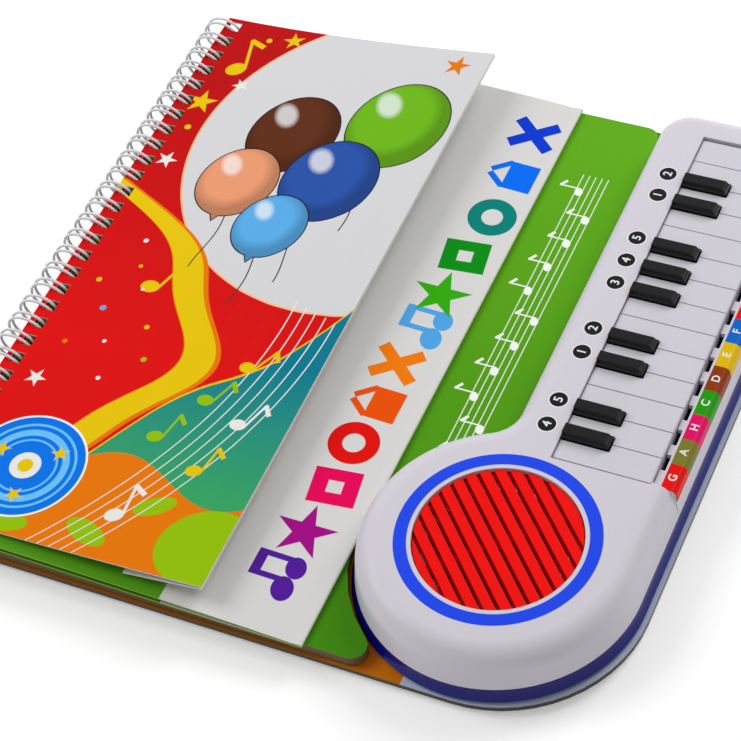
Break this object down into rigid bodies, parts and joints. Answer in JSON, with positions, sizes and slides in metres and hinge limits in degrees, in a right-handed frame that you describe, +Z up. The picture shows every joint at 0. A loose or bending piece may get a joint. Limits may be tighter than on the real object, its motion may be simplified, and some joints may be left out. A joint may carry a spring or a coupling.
{
  "type": "sound book",
  "caption": "Wire-bound board book with a lifted card cover and a small electronic keyboard with a round speaker end on its back board.",
  "frame": {"origin": "middle of the footprint at the height of the surface the book lies on", "axes": "+Z up through the leaves, +X from the wire to the keyboard unit, +Y along the keys away from the speaker"},
  "size_m": [0.257, 0.2566, 0.0263],
  "materials": {
    "shell": "satin pale plastic",
    "case_blue": "glossy dark blue plastic",
    "grille": "glossy red plastic",
    "steel": "plain steel",
    "cone": "black paper cone",
    "labels": "glossy printed label",
    "circuit": "green solder mask",
    "contact_rubber": "grey rubber",
    "wire": "white coated wire",
    "board": "laminated print",
    "pages": "laminated print",
    "title_card": "laminated card",
    "cover_card": "laminated print",
    "white_keys": "satin plastic",
    "black_keys": "satin plastic"
  },
  "bodies": {
    "base": {"back_board": "board", "wire_comb": "wire", "lower_case": "case_blue", "upper_case": "shell", "speaker_grille": "grille", "speaker_frame": "steel", "speaker_cone": "cone", "speaker_magnet": "steel", "note_label_strip": "labels", "circuit_board": "circuit", "contact_strip": "contact_rubber", "button_cell_1": "steel", "button_cell_2": "steel", "button_cell_3": "steel", "battery_contact_1": "steel", "battery_contact_2": "steel", "battery_door": "case_blue", "battery_door_screw": "steel", "case_screw_1": "steel", "case_screw_2": "steel", "case_screw_3": "steel", "case_screw_4": "steel"},
    "leaves": {"page_block": "pages", "title_leaf": "title_card"},
    "cover": {"front_cover": "cover_card"},
    "white_key_01": {"white_key_01": "white_keys"},
    "white_key_02": {"white_key_02": "white_keys"},
    "white_key_03": {"white_key_03": "white_keys"},
    "white_key_04": {"white_key_04": "white_keys"},
    "white_key_05": {"white_key_05": "white_keys"},
    "white_key_06": {"white_key_06": "white_keys"},
    "white_key_07": {"white_key_07": "white_keys"},
    "white_key_08": {"white_key_08": "white_keys"},
    "white_key_09": {"white_key_09": "white_keys"},
    "white_key_10": {"white_key_10": "white_keys"},
    "white_key_11": {"white_key_11": "white_keys"},
    "white_key_12": {"white_key_12": "white_keys"},
    "white_key_13": {"white_key_13": "white_keys"},
    "white_key_14": {"white_key_14": "white_keys"},
    "black_key_01": {"black_key_01": "black_keys"},
    "black_key_02": {"black_key_02": "black_keys"},
    "black_key_03": {"black_key_03": "black_keys"},
    "black_key_04": {"black_key_04": "black_keys"},
    "black_key_05": {"black_key_05": "black_keys"},
    "black_key_06": {"black_key_06": "black_keys"},
    "black_key_07": {"black_key_07": "black_keys"},
    "black_key_08": {"black_key_08": "black_keys"},
    "black_key_09": {"black_key_09": "black_keys"}
  },
  "joints": [
    {"name": "leaves_turn", "type": "hinge", "parent": "base", "child": "leaves", "pos_m": [-0.12036, 0.0019, 0.00827], "axis": [0, -1, 0], "range_deg": [0, 50]},
    {"name": "cover_turn", "type": "hinge", "parent": "leaves", "child": "cover", "pos_m": [-0.12036, 0.0019, 0.00827], "axis": [0, -1, 0], "range_deg": [0, 120]},
    {"name": "white_key_01_press", "type": "hinge", "parent": "base", "child": "white_key_01", "pos_m": [0.07354, -0.0367, 0.01942], "axis": [0, 1, 0], "range_deg": [0, 2.6], "stiffness_Nm_per_rad": 0.05},
    {"name": "white_key_02_press", "type": "hinge", "parent": "base", "child": "white_key_02", "pos_m": [0.07354, -0.0259, 0.01942], "axis": [0, 1, 0], "range_deg": [0, 2.6], "stiffness_Nm_per_rad": 0.05},
    {"name": "white_key_03_press", "type": "hinge", "parent": "base", "child": "white_key_03", "pos_m": [0.07354, -0.0151, 0.01942], "axis": [0, 1, 0], "range_deg": [0, 2.6], "stiffness_Nm_per_rad": 0.05},
    {"name": "white_key_04_press", "type": "hinge", "parent": "base", "child": "white_key_04", "pos_m": [0.07354, -0.0043, 0.01942], "axis": [0, 1, 0], "range_deg": [0, 2.6], "stiffness_Nm_per_rad": 0.05},
    {"name": "white_key_05_press", "type": "hinge", "parent": "base", "child": "white_key_05", "pos_m": [0.07354, 0.0065, 0.01942], "axis": [0, 1, 0], "range_deg": [0, 2.6], "stiffness_Nm_per_rad": 0.05},
    {"name": "white_key_06_press", "type": "hinge", "parent": "base", "child": "white_key_06", "pos_m": [0.07354, 0.0173, 0.01942], "axis": [0, 1, 0], "range_deg": [0, 2.6], "stiffness_Nm_per_rad": 0.05},
    {"name": "white_key_07_press", "type": "hinge", "parent": "base", "child": "white_key_07", "pos_m": [0.07354, 0.0281, 0.01942], "axis": [0, 1, 0], "range_deg": [0, 2.6], "stiffness_Nm_per_rad": 0.05},
    {"name": "white_key_08_press", "type": "hinge", "parent": "base", "child": "white_key_08", "pos_m": [0.07354, 0.0389, 0.01942], "axis": [0, 1, 0], "range_deg": [0, 2.6], "stiffness_Nm_per_rad": 0.05},
    {"name": "white_key_09_press", "type": "hinge", "parent": "base", "child": "white_key_09", "pos_m": [0.07354, 0.0497, 0.01942], "axis": [0, 1, 0], "range_deg": [0, 2.6], "stiffness_Nm_per_rad": 0.05},
    {"name": "white_key_10_press", "type": "hinge", "parent": "base", "child": "white_key_10", "pos_m": [0.07354, 0.0605, 0.01942], "axis": [0, 1, 0], "range_deg": [0, 2.6], "stiffness_Nm_per_rad": 0.05},
    {"name": "white_key_11_press", "type": "hinge", "parent": "base", "child": "white_key_11", "pos_m": [0.07354, 0.0713, 0.01942], "axis": [0, 1, 0], "range_deg": [0, 2.6], "stiffness_Nm_per_rad": 0.05},
    {"name": "white_key_12_press", "type": "hinge", "parent": "base", "child": "white_key_12", "pos_m": [0.07354, 0.0821, 0.01942], "axis": [0, 1, 0], "range_deg": [0, 2.6], "stiffness_Nm_per_rad": 0.05},
    {"name": "white_key_13_press", "type": "hinge", "parent": "base", "child": "white_key_13", "pos_m": [0.07354, 0.0929, 0.01942], "axis": [0, 1, 0], "range_deg": [0, 2.6], "stiffness_Nm_per_rad": 0.05},
    {"name": "white_key_14_press", "type": "hinge", "parent": "base", "child": "white_key_14", "pos_m": [0.07354, 0.1037, 0.01942], "axis": [0, 1, 0], "range_deg": [0, 2.6], "stiffness_Nm_per_rad": 0.05},
    {"name": "black_key_01_press", "type": "hinge", "parent": "base", "child": "black_key_01", "pos_m": [0.07354, -0.0313, 0.01942], "axis": [0, 1, 0], "range_deg": [0, 2.6], "stiffness_Nm_per_rad": 0.05},
    {"name": "black_key_02_press", "type": "hinge", "parent": "base", "child": "black_key_02", "pos_m": [0.07354, -0.0205, 0.01942], "axis": [0, 1, 0], "range_deg": [0, 2.6], "stiffness_Nm_per_rad": 0.05},
    {"name": "black_key_03_press", "type": "hinge", "parent": "base", "child": "black_key_03", "pos_m": [0.07354, 0.0011, 0.01942], "axis": [0, 1, 0], "range_deg": [0, 2.6], "stiffness_Nm_per_rad": 0.05},
    {"name": "black_key_04_press", "type": "hinge", "parent": "base", "child": "black_key_04", "pos_m": [0.07354, 0.0119, 0.01942], "axis": [0, 1, 0], "range_deg": [0, 2.6], "stiffness_Nm_per_rad": 0.05},
    {"name": "black_key_05_press", "type": "hinge", "parent": "base", "child": "black_key_05", "pos_m": [0.07354, 0.0335, 0.01942], "axis": [0, 1, 0], "range_deg": [0, 2.6], "stiffness_Nm_per_rad": 0.05},
    {"name": "black_key_06_press", "type": "hinge", "parent": "base", "child": "black_key_06", "pos_m": [0.07354, 0.0443, 0.01942], "axis": [0, 1, 0], "range_deg": [0, 2.6], "stiffness_Nm_per_rad": 0.05},
    {"name": "black_key_07_press", "type": "hinge", "parent": "base", "child": "black_key_07", "pos_m": [0.07354, 0.0551, 0.01942], "axis": [0, 1, 0], "range_deg": [0, 2.6], "stiffness_Nm_per_rad": 0.05},
    {"name": "black_key_08_press", "type": "hinge", "parent": "base", "child": "black_key_08", "pos_m": [0.07354, 0.0767, 0.01942], "axis": [0, 1, 0], "range_deg": [0, 2.6], "stiffness_Nm_per_rad": 0.05},
    {"name": "black_key_09_press", "type": "hinge", "parent": "base", "child": "black_key_09", "pos_m": [0.07354, 0.0875, 0.01942], "axis": [0, 1, 0], "range_deg": [0, 2.6], "stiffness_Nm_per_rad": 0.05}
  ]
}
